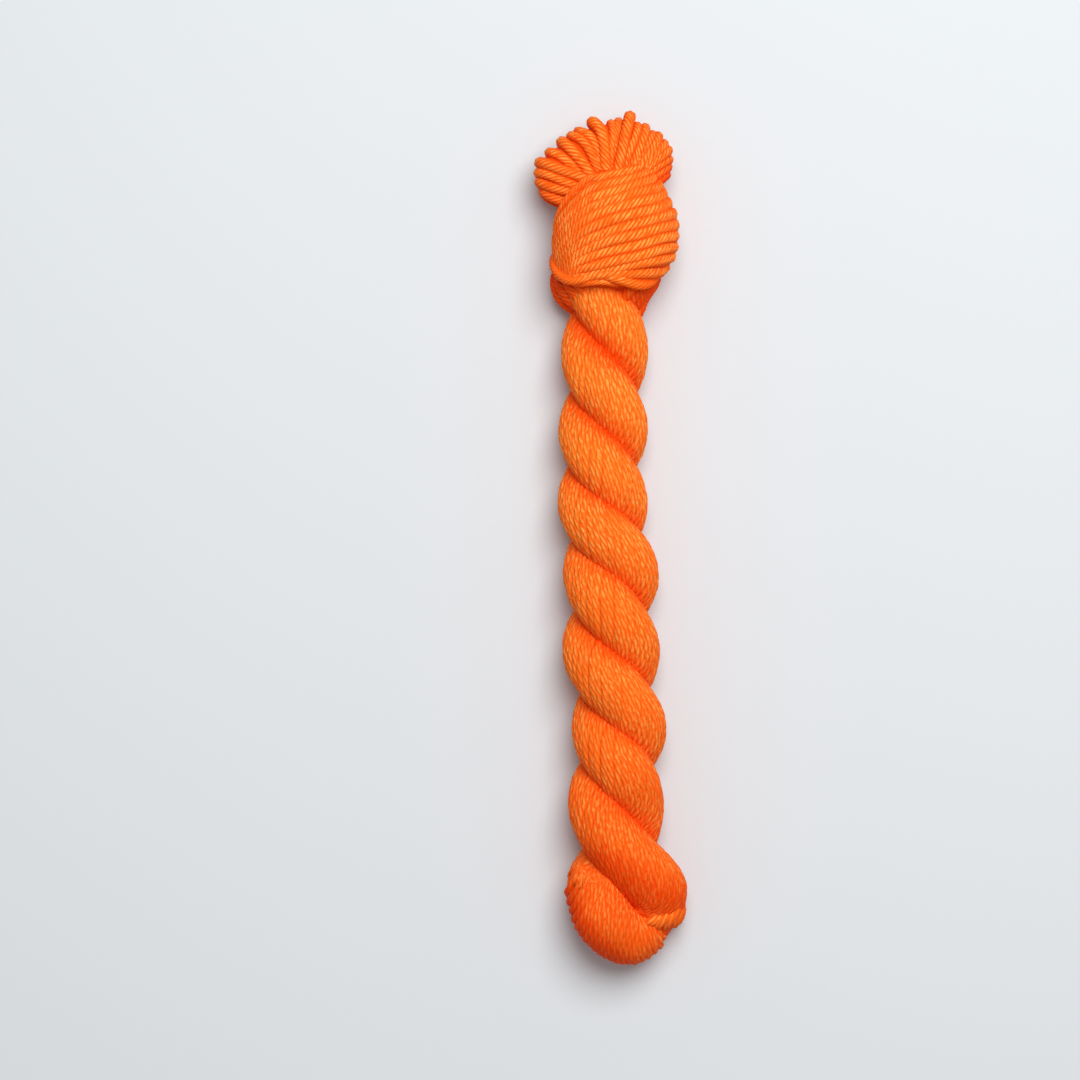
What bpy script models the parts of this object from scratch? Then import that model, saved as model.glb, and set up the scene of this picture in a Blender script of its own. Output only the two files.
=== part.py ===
"""A hank of yarn lying on a flat surface.

A wound skein is twisted and folded in half, so that its two halves, the plies, lie
round each other in one thick rope. The skein's open end is tucked through itself:
its turns wrap the neck as a ball-shaped collar, and the loops that were pulled
through spread above it as a fan.

X runs across the hank, Y along it from the fold up to the fan, and Z is up. The
origin is the middle of the hank's own box, on the surface it lies on. Tables are in
millimetres.
"""

from math import atan2, cos, degrees, pi, radians, sin

import bmesh
import bpy
import numpy as np
from mathutils import Vector

MM = 0.001

# The plies, from inside the collar down to the fold: a row for each place where they
# lie side by side. They turn by half a turn from one row to the next.
#   along: place along the hank     middle: middle of the pair, across the hank
#   half: half of the pair's width  ply: radius of one ply
SHAFT = (
    # along, middle, half, ply
    (77.0, -1.1, 12.6, 8.4),
    (54.7, -1.6, 13.0, 8.7),
    (31.9, -2.1, 13.3, 8.7),
    (10.8, -2.3, 13.4, 8.6),
    (-10.2, 0.2, 14.3, 8.8),
    (-32.5, 0.2, 14.5, 8.9),
    (-55.9, 2.6, 14.1, 8.8),
    (-76.1, 1.6, 14.2, 8.9),
    (-102.6, 4.5, 18.3, 9.5),
)
FOLD_HALF_HEIGHT = 13.6  # of the pair where it spreads at the fold
SINK = 0.6  # how far each low place is pressed flat on the surface

# The bend at the fold, from the ply that ends on the left to the one on the right:
# places that its middle passes, and its radius there.
FOLD = (
    # across, along, up, ply
    (-1.5, -111.2, 16.2, 9.2),
    (5.5, -115.9, 12.2, 9.1),
    (11.3, -110.4, 9.4, 9.2),
)

# The collar: a row for each section across it, from the neck to the fan.
#   along: place along the hank   left, right: its edges   deep: half of its depth
COLLAR = (
    # along, left, right, deep
    (69.2, -11.9, 9.3, 6.5),
    (71.2, -14.1, 11.3, 10.6),
    (74.0, -15.3, 13.5, 13.2),
    (77.0, -15.9, 16.1, 14.6),
    (81.0, -16.4, 18.9, 15.6),
    (87.0, -16.8, 20.5, 16.4),
    (93.0, -16.4, 19.9, 16.4),
    (99.0, -14.3, 17.5, 15.4),
    (104.0, -10.9, 14.5, 13.4),
    (108.5, -6.3, 10.5, 9.6),
)

# The fan: a row for each loop, clockwise from the left.
#   turn: direction of the loop from the fan's middle, in degrees from +X
#   reach: distance of its tip from there
FAN = (
    # turn, reach
    (199.0, 20.1),
    (188.0, 23.2),
    (176.0, 23.8),
    (165.0, 23.8),
    (155.0, 22.2),
    (144.0, 20.6),
    (132.0, 19.6),
    (121.0, 18.2),
    (110.0, 19.4),
    (97.0, 17.8),
    (86.0, 18.6),
    (76.0, 20.6),
    (65.0, 18.6),
    (54.0, 19.2),
    (43.0, 19.4),
    (31.0, 19.0),
    (18.0, 18.0),
    (5.0, 15.2),
)
FAN_MIDDLE = Vector((1.1, 105.0, 13.0))
FAN_HALF_DEPTH = 9.0
FAN_INSIDE = 9.0  # reach on the side that the collar covers
FAN_INSIDE_TURN = 270.0  # direction of the middle of that side
FAN_GROOVE = 1.1  # depth between two loops
FAN_BLUNT = 0.55  # 1 gives a thin rim, less a blunter one

RING_SIDES = 16
STEPS_PER_ROW = 8  # rings from one row of SHAFT to the next
COLLAR_SIDES = 28
FAN_SIDES = 104  # four for each loop
FAN_BANDS = 10
CUTTER_SIZE = 400.0

YARN_COLOUR = (0.93, 0.14, 0.01, 1.0)
YARN_ROUGHNESS = 0.75


def smooth(values, at):
    """The value at place `at` on the smooth (Catmull-Rom) curve through `values`.

    Place 0 is the first value, 1 the second and so on.
    """
    last = len(values) - 1
    first = min(int(at), last - 1)
    share = at - first
    a, b, c, d = (values[min(max(first + k, 0), last)] for k in (-1, 0, 1, 2))
    slope_in = (c - a) / 2
    slope_out = (d - b) / 2
    return (
        b * (1 + 2 * share) * (1 - share) ** 2
        + c * share**2 * (3 - 2 * share)
        + slope_in * share * (1 - share) ** 2
        - slope_out * share**2 * (1 - share)
    )


def ply_path(side):
    """Points and radii down one ply: side 1 starts on the left, side -1 on the right."""
    along, middle, half, ply = np.array(SHAFT).T
    half_height = half.copy()
    half_height[-1] = FOLD_HALF_HEIGHT
    path = []
    for step in range((len(SHAFT) - 1) * STEPS_PER_ROW + 1):
        row = step / STEPS_PER_ROW
        radius = smooth(ply, row)
        tall = smooth(half_height, row)
        turn = pi * (1 - row)
        path.append(
            (
                smooth(middle, row) + side * (smooth(half, row) - radius) * cos(turn),
                smooth(along, row),
                tall - SINK + side * (tall - radius) * sin(turn),
                radius,
            )
        )
    return path


def skein_path():
    """Points and radii down one ply, round the fold and up the other ply."""
    down = ply_path(1)
    up = ply_path(-1)[::-1]
    bend = np.array([down[-2], down[-1], *FOLD, up[0], up[1]])
    first, last = 1, len(FOLD) + 2
    steps = STEPS_PER_ROW // 2
    places = [first + k / steps for k in range(1, (last - first) * steps)]
    return np.array([*down, *(smooth(bend, place) for place in places), *up])


def ring_frames(points):
    """Two directions across the path at each point, which don't turn about it."""
    along = np.gradient(points, axis=0)
    across = Vector((1, 0, 0))
    frames = []
    for direction in map(Vector, along):
        direction.normalize()
        across = (across - direction * across.dot(direction)).normalized()
        frames.append((across, direction.cross(across)))
    return frames


def bridge_rings(mesh, rings):
    """Faces between rings of equally many vertices, and across the two ends."""
    for lower, upper in zip(rings, rings[1:]):
        count = len(lower)
        for k in range(count):
            after = (k + 1) % count
            mesh.faces.new((lower[k], lower[after], upper[after], upper[k]))
    mesh.faces.new(rings[0])
    mesh.faces.new(rings[-1])


def new_object(name, mesh):
    """A mesh object of the bmesh, in metres, its faces flat and turned outwards."""
    bmesh.ops.triangulate(mesh, faces=mesh.faces)
    bmesh.ops.recalc_face_normals(mesh, faces=mesh.faces)
    bmesh.ops.scale(mesh, vec=(MM, MM, MM), verts=mesh.verts)
    data = bpy.data.meshes.new(name)
    mesh.to_mesh(data)
    mesh.free()
    data.shade_smooth()
    made = bpy.data.objects.new(name, data)
    bpy.context.scene.collection.objects.link(made)
    return made


def make_skein():
    """The two plies and the fold that joins them, as one tube."""
    path = skein_path()
    points, radii = path[:, :3], path[:, 3]
    mesh = bmesh.new()
    rings = []
    for point, radius, (right, up) in zip(points, radii.tolist(), ring_frames(points)):
        ring = []
        for k in range(RING_SIDES):
            turn = 2 * pi * k / RING_SIDES
            outwards = cos(turn) * right + sin(turn) * up
            ring.append(mesh.verts.new(Vector(point) + outwards * radius))
        rings.append(ring)
    bridge_rings(mesh, rings)
    return new_object("hank", mesh)


def make_collar():
    """The turns wrapped round the neck: a ball of elliptical sections."""
    mesh = bmesh.new()
    rings = []
    deepest = max(deep for *_, deep in COLLAR)
    for along, left, right, deep in COLLAR:
        middle, half = (left + right) / 2, (right - left) / 2
        ring = []
        for k in range(COLLAR_SIDES):
            turn = 2 * pi * k / COLLAR_SIDES
            place = (middle + half * cos(turn), along, deepest - SINK + deep * sin(turn))
            ring.append(mesh.verts.new(place))
        rings.append(ring)
    bridge_rings(mesh, rings)
    return new_object("collar", mesh)


def fan_reach(turn):
    """How far the fan reaches in a direction, in degrees: a lobe for each loop."""
    turns, reaches = np.array(FAN[::-1]).T
    if not turns[0] <= turn <= turns[-1]:
        return FAN_INSIDE
    place = np.interp(turn, turns, np.arange(len(turns)))
    from_loop = abs(place - round(place))
    return smooth(reaches, place) - FAN_GROOVE * (2 * from_loop) ** 2


def make_fan():
    """The loops above the collar: a flattened ball whose rim follows them."""
    mesh = bmesh.new()
    bmesh.ops.create_uvsphere(
        mesh,
        u_segments=FAN_SIDES,
        v_segments=FAN_BANDS,
        radius=1.0,
    )
    for vertex in mesh.verts:
        flat = vertex.co.xy.length
        turn = degrees(atan2(vertex.co.y, vertex.co.x)) % 360
        reach = fan_reach(turn if turn < FAN_INSIDE_TURN else turn - 360)
        out = reach * flat**FAN_BLUNT
        up = FAN_HALF_DEPTH * vertex.co.z
        vertex.co = FAN_MIDDLE + Vector((out * cos(radians(turn)), out * sin(radians(turn)), up))
    return new_object("fan", mesh)


def make_surface_cutter():
    """Everything below the surface that the hank lies on."""
    mesh = bmesh.new()
    bmesh.ops.create_cube(mesh, size=CUTTER_SIZE)
    bmesh.ops.translate(mesh, verts=mesh.verts, vec=(0, 0, -CUTTER_SIZE / 2))
    return new_object("below_surface", mesh)


def combine(target, operation, helper):
    """A Boolean with a helper object, which is itself left out of the model."""
    modifier = target.modifiers.new(helper.name, "BOOLEAN")
    modifier.operation = operation
    modifier.solver = "EXACT"
    modifier.use_self = operation == "UNION"
    modifier.object = helper
    helper.hide_render = True
    helper.display_type = "WIRE"


def yarn_material():
    material = bpy.data.materials.new("orange wool yarn")
    material.use_nodes = True
    shader = material.node_tree.nodes["Principled BSDF"]
    shader.inputs["Base Color"].default_value = YARN_COLOUR
    shader.inputs["Metallic"].default_value = 0.0
    shader.inputs["Roughness"].default_value = YARN_ROUGHNESS
    return material


def main():
    for old in list(bpy.data.objects):
        bpy.data.objects.remove(old, do_unlink=True)
    hank = make_skein()
    hank.data.materials.append(yarn_material())
    combine(hank, "UNION", make_collar())
    combine(hank, "UNION", make_fan())
    combine(hank, "DIFFERENCE", make_surface_cutter())


main()
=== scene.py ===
"""A hank of plied wool yarn, strand by strand, on a pale studio floor.

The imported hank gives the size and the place. Its solid is replaced by the yarn itself: the
two plies of the rope with the fold that joins them, the collar wound round the neck and
the fan of loops above it, over a core that closes the gaps between the strands.

Places in the tables are in pixels across and down the photograph's 1080-pixel frame, or
in millimetres where their comment says so.
"""

from math import pi

import bmesh
import bpy
import numpy as np
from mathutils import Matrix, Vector


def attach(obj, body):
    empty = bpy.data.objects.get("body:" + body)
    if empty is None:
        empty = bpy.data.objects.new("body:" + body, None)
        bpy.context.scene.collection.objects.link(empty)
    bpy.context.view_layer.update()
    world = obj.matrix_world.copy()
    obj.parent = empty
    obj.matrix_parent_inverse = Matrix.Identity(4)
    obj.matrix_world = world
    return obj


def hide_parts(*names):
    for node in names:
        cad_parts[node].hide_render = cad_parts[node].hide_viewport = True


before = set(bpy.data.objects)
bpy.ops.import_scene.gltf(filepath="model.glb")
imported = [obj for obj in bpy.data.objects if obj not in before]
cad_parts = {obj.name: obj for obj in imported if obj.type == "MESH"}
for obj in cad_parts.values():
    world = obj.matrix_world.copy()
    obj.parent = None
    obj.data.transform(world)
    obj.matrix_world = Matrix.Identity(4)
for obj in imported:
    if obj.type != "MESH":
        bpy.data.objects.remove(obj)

bl_info = {
    "name": "Hank of yarn",
    "version": (1, 0, 0),
    "blender": (4, 5, 0),
    "location": "View3D > Sidebar > Hank",
    "description": "Winds a hank of plied wool yarn strand by strand and lights it on a pale floor",
    "category": "Add Mesh",
}

MM = 0.001
NODE = "hank"
BODY = "root"

# The photograph's scale and the pixel that lies on the object's X = 0 and Y = 0.
MM_PER_PIXEL = 0.29274
PIXEL_ACROSS, PIXEL_DOWN = 610.3, 539.0
FRAME_PIXELS = 1080

# The rope, in millimetres: a row for each place where its plies lie side by side, from
# inside the collar down. They turn by half a turn from one row to the next.
#   along: place along the hank     middle: middle of the pair, across the hank
#   half, tall: half of the pair's width and height     ply: radius of one ply
SHAFT = np.array(
    (
        # along, middle, half, tall, ply
        (77.0, -1.1, 12.6, 12.6, 8.4),
        (54.7, -1.6, 13.0, 13.0, 8.7),
        (31.9, -2.1, 13.3, 13.3, 8.7),
        (10.8, -2.3, 13.4, 13.4, 8.6),
        (-10.2, 0.2, 14.3, 14.3, 8.8),
        (-32.5, 0.2, 14.5, 14.5, 8.9),
        (-55.9, 2.6, 14.1, 14.1, 8.8),
        (-76.1, 1.6, 14.2, 14.2, 8.9),
        (-102.6, 4.5, 18.3, 13.6, 9.5),
    )
)
ROWS = len(SHAFT) - 1
ROW_STEP = 0.125  # between places on a ply's line
SINK = 0.6  # mm that each low place is pressed flat on the floor

# The bend at the fold, in millimetres, from the ply that ends on the left to the other.
FOLD = (
    # across, along, up, ply
    (-1.5, -111.2, 16.2, 9.2),
    (5.5, -115.9, 12.2, 9.1),
    (11.3, -110.4, 9.4, 9.2),
)
# How the strands over the fold lean, in degrees from upright to the right, at places in
# mm along the bend from the last row.
FOLD_PLACES = (-12.0, 0.0, 9.0, 17.5, 25.0, 33.0)
FOLD_LEANS = (25, 27, 24, 17, -8, -28)

# How the rope's strands lie, in millimetres, radians and rows of SHAFT.
SKIN = 0.1  # how far a strand lies below the surface that it follows
PLACE_STEP = 2.0  # between places along a strand
HIDDEN_ROW = 0.1  # inside the collar, where the strands start
UNEVEN_START = 0.08  # as a share of the spacing between strands
SIDEWAYS = (45, 0.025)  # length and height of their waves round the ply
IN_AND_OUT = (38, 0.12)  # and out of its surface
CREASE_RIM = 1.5  # inside the hank's surface, where the shade of a crease ends

# Past the last row each ply curls under, so its strands turn faster round it and sink.
FIRST_PLY_RUN, SECOND_PLY_RUN = 22.0, 14.0  # how far they go on past the last row
FIRST_PLY_CURL, SECOND_PLY_CURL = (2, 10), (-2.2, 11)  # extra turn, and length it grows in
CURL_END = 8  # past the last row, from where the extra turn stays
CROSSING_ROW = 7.85  # where the first ply's strands go under the fold's
SECOND_PLY_SINKS = 6.0  # past the last row, where the second ply's strands start to sink
SINK_LENGTH = 5
FIRST_PLY_SUNK, SECOND_PLY_SUNK = 1, 3

# Painted shade on the rope, darker towards the fold where less light falls, as (share, place along
# where it starts, and is full).
UPPER_SHADE, LOWER_SHADE = (0.2, 25, -5), (0.3, -40, -85)
# Painted shade where a ply curls under the fold: the most, and where along it grows.
FIRST_PLY_POCKET, SECOND_PLY_POCKET = 0.35, 0.9  # most, where a ply curls under
POCKET_ALONG = (-84, -90)
# The second ply's pocket of painted shade: a place near its edge, the way into it from there,
# and where on that way the edge starts and ends.
POCKET_PLACE, POCKET_AHEAD, POCKET_EDGE = (0.5, -89.6), (-0.506, -0.861), (-3.5, 2.5)

# How the strands over the fold lie, in millimetres and rows of SHAFT. Turns are from the
# top towards the outside of the bend, in degrees where nothing else is said.
FOLD_PITCH = 1.75  # between strands, across their lean
FOLD_START_ROW, FOLD_SHOWN_ROW = 7.4, 7.6
FOLD_END, FOLD_SHOWN_END = 4.5, 7  # short of the second ply's last row
LEAST_SPREAD = 0.3  # of the silhouette's own length, where strands run along it
TURN_STEP = np.radians(5)
GROOVE_TURN, UNDERSIDE_TURN = -80, 245  # where strands start, and end underneath
STRAIGHT = 4  # mm along the fold for each radian, under it
LEAN_FADES = 0.3  # radians in which the lean goes over to that
STEEPEST = 14  # mm along the fold for each radian
SEEN_INSET = 1.5  # below the surface, where their lean is set
# Where two strands part towards the groove, others lie between them.
FILL_TURN, WIDEST_TURN = 60, -50
FILL_PITCH, FILL_END = 2.5, 0.8
LEAST_PLACES = 4  # shorter strands are left out
FOLD_WAVES, FOLD_MM_ROUND = (30, 0.12), 8  # and about how many mm make a radian
# Ends that sink into the hank: depth, and where they start and are that deep.
UNDERSIDE_SUNK = (1.5, 3.9, 4.3)  # turns in radians
RIGHT_SUNK = (2.2, 13, 10)  # places short of the second ply's last row
LEFT_SUNK, LEFT_SUNK_ROW, LEFT_SUNK_LENGTH = 1.8, 7.93, 6
FILL_SUNK, FILL_SUNK_TURN = 1.2, 0.5  # the turn in radians
# Painted shade on the fold where it faces left and away from the fan, the sides turned from the
# light.
FOLD_SHADE_WAY, FOLD_SHADE_ADDED, FOLD_SHADE_RANGE = (-0.8, -0.7, 0), 0.4, (0.6, 0.95)

# Strands that curl round the fold's right end: places across and down, and mm up.
# The lip's strands carry painted shade.
LIP_RADIUS, LIP_SHADE = 1.6, 0.3
LIP = (
    ((668, 908, 9), (661, 913.5, 16.5), (654, 918.5, 18.6), (647.5, 921.5, 17), (643, 921, 11)),
    ((672, 902, 8), (669.5, 910, 15.5), (662.5, 918, 18.2), (656, 924.5, 16.5), (650, 926, 10)),
    ((674, 896, 6), (677, 906, 14), (670.5, 916.5, 17), (664, 924.5, 15), (657, 926, 8)),
    ((673, 896, 3), (680.5, 905, 10.5), (677, 915, 14), (671, 923.5, 12.4), (663, 924, 6)),
    ((670, 900, 1), (681, 909, 6), (679, 918.5, 9.4), (673, 924.5, 8.4), (662, 922, 4)),
    ((668, 906, -1), (678, 913, 3), (678, 920, 5), (672, 924.5, 4.4), (662, 922, 1)),
)

# Strands along the collar's lower edge, and on the left and right of the neck under it, painted in
# shade where the collar overhangs them.
COLLAR_EDGE = (
    # radius in mm and painted shade, then places across and down, and mm up
    (1.65, 0, (648, 267, 8), (654, 272, 13), (653, 279, 18), (647, 284.5, 21.8),
     (637.5, 286.6, 25.2), (623.6, 283.2, 28), (612.4, 280, 28.6), (600, 276.5, 27),
     (590, 273, 23), (582, 268, 17)),
    (1.4, 0.3, (660, 262, 8), (663.5, 267, 12), (660, 273.5, 17), (650, 278.5, 21.2),
     (636, 280, 25.2), (620, 278.5, 28), (606, 275.5, 28), (594, 272, 25.5), (584, 269, 20)),
    (1.35, 0, (560, 252, 9), (554.5, 258, 13), (553.5, 265, 17), (556, 272.5, 20.5),
     (561.4, 278.6, 23), (568, 282.6, 25.2), (575, 283.2, 26.6), (583, 281, 27.6),
     (592, 278.5, 27.2), (602, 276, 24.5)),
    (1.05, 0.2, (572, 284, 23), (579, 285.8, 25), (588, 285.2, 27.2), (598, 284.2, 28),
     (607, 284.6, 27.8), (616, 286, 26)),
)
NECK_LEFT = (
    (2.2, 0.9, (572, 264, 6), (562, 272, 4), (559, 284, 4), (563, 295, 5), (570, 303, 6),
     (580, 308, 7)),
    (2.2, 0.8, (570, 264, 9), (559, 273, 8), (557, 283, 9), (560, 294, 10),
     (566.5, 302, 10), (577, 309, 9)),
    (2.2, 0.8, (574, 266, 13), (563, 275, 12), (562, 285, 14), (567, 295, 14.6),
     (574, 302, 14), (584, 308, 11)),
    (2.0, 0.7, (578, 267, 17), (569, 277, 16.4), (570, 286, 18.4), (575.5, 294, 18.8),
     (582, 301, 17.6), (590, 307, 15)),
    (1.9, 0.6, (584, 270, 19), (577, 279, 19.4), (580, 287, 21.2), (585.5, 294, 21.1),
     (592, 300, 19.6), (600, 305, 17)),
)
NECK_RIGHT = (
    (2.3, 0.9, (634, 262, 4), (645, 271, 2), (648, 281, 2), (642, 292, 2.4), (636, 302, 3),
     (626, 313, 5)),
    (2.3, 0.9, (636, 262, 6), (649, 270, 4.5), (651.5, 280, 5), (645.5, 291, 5.8),
     (639, 301, 6.6), (629, 313, 8)),
    (2.3, 0.8, (638, 262, 8), (651, 270, 8), (653.5, 280, 8.4), (647, 290, 9.6),
     (641, 300, 10.4), (637, 311, 11.2), (628, 321, 9)),
    (2.3, 0.8, (638, 263, 12), (648.5, 271, 12), (649.5, 281, 12.6), (643, 290, 13.8),
     (637, 300, 14.2), (631, 311, 12)),
    (2.1, 0.8, (634, 266, 15), (643.5, 273, 15.6), (644, 282, 17), (637, 290, 18.2),
     (631.5, 299, 18), (625, 308, 15.6)),
    (1.9, 0.7, (630, 270, 18), (639.5, 276, 19.2), (637, 282, 21.2), (630.5, 289, 21.8),
     (625, 297, 21.2), (618, 304, 18.6)),
)

# The collar, in millimetres: a row for each section across it, from the neck to the fan.
COLLAR = np.array(
    (
        # along, left, right, deep
        (66.0, -8.0, 7.0, 3.0),
        (69.2, -11.9, 9.3, 6.5),
        (71.2, -14.1, 10.3, 10.6),
        (74.0, -15.3, 12.2, 13.2),
        (77.0, -16.1, 15.0, 14.6),
        (81.0, -16.9, 18.4, 15.6),
        (87.0, -17.3, 20.5, 16.4),
        (93.0, -16.8, 19.9, 16.4),
        (99.0, -14.8, 17.5, 15.4),
        (104.0, -11.4, 14.8, 13.4),
        (108.5, -6.8, 11.5, 9.6),
        (112.0, -3.0, 8.0, 5.0),
    )
)
COLLAR_MIDDLE_UP = 15.8
COLLAR_THICKER = (1.15, 1.35)  # least and most, so that its strands close up
COLLAR_TURN_PLACES = 60  # on a strand's turn
COLLAR_WAVES, COLLAR_MM_PLACE = (40, 0.3), 6  # and about how many mm from place to place
COLLAR_REACH = 0.97  # of the half-width, at most, for a place on the front
LEAST_TURN = 4  # degrees from one place to the next
# Painted shade and shadow on the collar's left side: how much, and from how far round it starts.
COLLAR_SHADE, COLLAR_SHADE_FROM = 0.5, 0.3  # on its left side
# The turns of yarn under the collar's outer ones, in millimetres.
LINING_ALONG, LINING_PITCH = (77.0, 106), 2.4
LINING_INSET, LINING_RADIUS, LINING_LEAN = 2.5, 1.5, 1.2
LINING_WAVES, LINING_MM_ROUND = (40, 0.15), 15  # and about how many mm make a radian
# Painted shade on the lining, under the outer turns.
LINING_SHADE = 0.45

# The collar's strands over the front, from the fan down: how far down each one is at the
# right edge, at COLLAR_PLACES across, and the turn (degrees from the right, over the
# top) at which it reaches the gathering place at the lower left.
COLLAR_PLACES = (660, 640, 618, 598, 580)
GATHERING_DOWN = 276
COLLAR_STRANDS = (
    # edge, then down at each of COLLAR_PLACES, turn, radius in mm
    (152, 159, 168.5, 176.5, 181.5, 188.5, 240, 1.3),
    (162, 169, 177.5, 185, 191, 200, 230, 1.35),
    (172, 178.5, 186, 193.5, 200, 209.5, 220, 1.35),
    (182, 188, 195, 202, 208.5, 218.5, 210, 1.4),
    (192, 198, 204.5, 211, 217.5, 228, 200, 1.4),
    (203, 209, 215.5, 221.5, 228.5, 238, 190, 1.45),
    (214, 219.5, 226, 232, 239, 247.5, 180, 1.5),
    (225, 230, 237, 242, 248, 256.5, 170, 1.5),
    (236, 240.5, 247.5, 252.5, 257, 264.5, 160, 1.55),
    (247, 251, 258, 263, 268, 271.5, 150, 1.55),
    (257, 261.5, 265.5, 270.5, 276, 279, 140, 1.45),
    (267, 272, 275.0, 276.0, 277, 279, 130, 1.4),
)

# The fan's loops over the front, from the base under the collar to the tip, left to right.
FAN = (
    # radius and lift in mm, then places across and down
    (1.5, -2.2, (585, 203), (573, 203), (563, 202), (555, 199.5), (548.5, 196), (543.5, 191.5)),
    (1.5, -1.0, (585, 197), (573, 193.5), (558.6, 190.5), (550.4, 188), (544, 185), (539.5, 182)),
    (1.45, -0.2, (588, 192), (575, 187), (563.2, 182.7), (555.5, 179.1), (547.9, 176), (538.5, 173)),
    (1.65, 0.4, (594, 186), (581, 178.6), (573.4, 176.0), (561, 171.8), (550.4, 167.3), (540.0, 163)),
    (1.45, -0.6, (590, 182), (580, 174), (571, 166), (564.7, 160.7), (558.1, 156.1), (549.5, 152.8)),
    (1.7, 0.4, (600, 186), (592.2, 179), (585, 168.4), (577, 158), (569.5, 149.5), (562, 142.3)),
    (1.45, 0.3, (604, 184), (599.9, 174.5), (594, 162), (588, 149.5), (580, 140.5), (571, 136.5)),
    (1.4, 0.0, (605, 184), (601, 173), (598.5, 160), (595.5, 147), (589, 137), (578, 131.8)),
    (1.75, 0.8, (609, 184), (606, 171), (605, 158), (603.5, 144), (600, 131), (592.5, 122.5)),
    (1.35, 0.1, (611, 184), (610.3, 172), (609.8, 158), (612, 144.5), (613.3, 132), (611, 124)),
    (1.35, -0.6, (613, 184), (614.5, 171), (615, 157), (616.3, 144), (617.6, 131), (618.5, 122)),
    (1.7, 0.9, (615, 184), (618, 170), (621.3, 156), (624, 141), (627.4, 127.5), (629.8, 116.7)),
    (1.4, 0.1, (619, 182), (624, 168), (628.8, 154), (633.8, 142), (636.6, 133), (637.2, 126.5)),
    (1.45, 0.4, (622, 181), (630, 171), (636.5, 157.9), (641.5, 145), (644.6, 135), (645, 128)),
    (1.4, 0.0, (627, 179), (636, 167), (642.9, 156), (648.3, 145), (651.3, 139), (652.3, 135)),
    (1.5, 0.5, (630, 179), (640, 168), (649.2, 155.4), (655, 145.5), (657.3, 140.5), (657.6, 136.5)),
    (1.4, 0.2, (636, 175), (647, 164), (655.9, 155.5), (661, 149.5), (663.5, 147), (663.8, 144)),
    (1.35, -0.2, (640, 176), (651, 166), (658, 160.5), (663.5, 156), (667, 153), (668, 150)),
    (1.4, -1.0, (640, 184), (650, 174), (656, 168.5), (662, 164), (666, 161.5), (668.5, 159.5)),
    (1.4, -2.4, (640, 188), (650, 181), (657, 176), (662, 172), (665.5, 169), (667.5, 167)),
    (1.4, -3.6, (640, 192), (650, 187), (657, 182.5), (661, 179), (664, 176.5), (666, 174.5)),
)
FAN_MIDDLE_UP, FAN_HALF_DEPTH = 13.0, 7.4  # mm, of the strands' middles
FAN_FULLNESS = 3.6  # 2 gives round loops, more gives flat ones with blunt tips
FAN_THICKER = 1.08
# Painted shade: the least on any loop, and more on loops that lie low.
FAN_LEAST_SHADE = 0.15

# The core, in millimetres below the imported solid, and more at the neck.
CORE_INSET, NECK_INSET = 1.3, 1.6
NECK_ALONG, NECK_SHARE = (62, 66, 72, 76), (0, 1, 1, 0)

# The stage, in metres.
FLOOR_REACH = 3.0
KEY_PLACE, KEY_SIZE = (0.18, 0.42, 1.05), 0.8
TRUE_SCALE_HEIGHT = 0.013  # what lies at this height shows at the photograph's scale
SENSOR_MM = 36.0


def pixels_to_mm(across, down):
    """X and Y in millimetres of a place in the photograph."""
    return (across - PIXEL_ACROSS) * MM_PER_PIXEL, (PIXEL_DOWN - down) * MM_PER_PIXEL


def linear(hex_colour):
    """A '#RRGGBB' sRGB colour as linear RGBA."""
    values = np.array([int(hex_colour[k : k + 2], 16) / 255 for k in (1, 3, 5)])
    low = values / 12.92
    high = ((values + 0.055) / 1.055) ** 2.4
    return (*np.where(values <= 0.04045, low, high).tolist(), 1.0)


def smooth(rows, at):
    """Rows of a table at places `at` (0 is the first row) on Catmull-Rom curves."""
    last = len(rows) - 1
    at = np.clip(np.asarray(at, float), 0, last)
    first = np.minimum(at.astype(int), last - 1)
    share = (at - first)[:, None]
    a, b, c, d = (rows[np.clip(first + k, 0, last)] for k in (-1, 0, 1, 2))
    return 0.5 * (
        2 * b
        + (c - a) * share
        + (2 * a - 5 * b + 4 * c - d) * share**2
        + (3 * b - a - 3 * c + d) * share**3
    )


def unit(vectors):
    return vectors / np.linalg.norm(vectors, axis=-1, keepdims=True)


def ramp(value, low, high):
    """0 up to `low`, 1 from `high` on, straight between. `high` may be the lower one."""
    return np.clip((value - low) / (high - low), 0, 1)


def add_node(tree, kind, inputs=None, **settings):
    """Adds a node, sets its properties, and sets or links each input socket named."""
    node = tree.nodes.new(kind)
    for name, value in settings.items():
        setattr(node, name, value)
    for socket, value in (inputs or {}).items():
        if isinstance(value, bpy.types.NodeSocket):
            tree.links.new(value, node.inputs[socket])
        else:
            node.inputs[socket].default_value = value
    return node


def colour_property(name, description, hex_colour):
    return bpy.props.FloatVectorProperty(
        name=name, description=description, default=linear(hex_colour)[:3],
        subtype="COLOR", min=0, max=1,
    )


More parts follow.
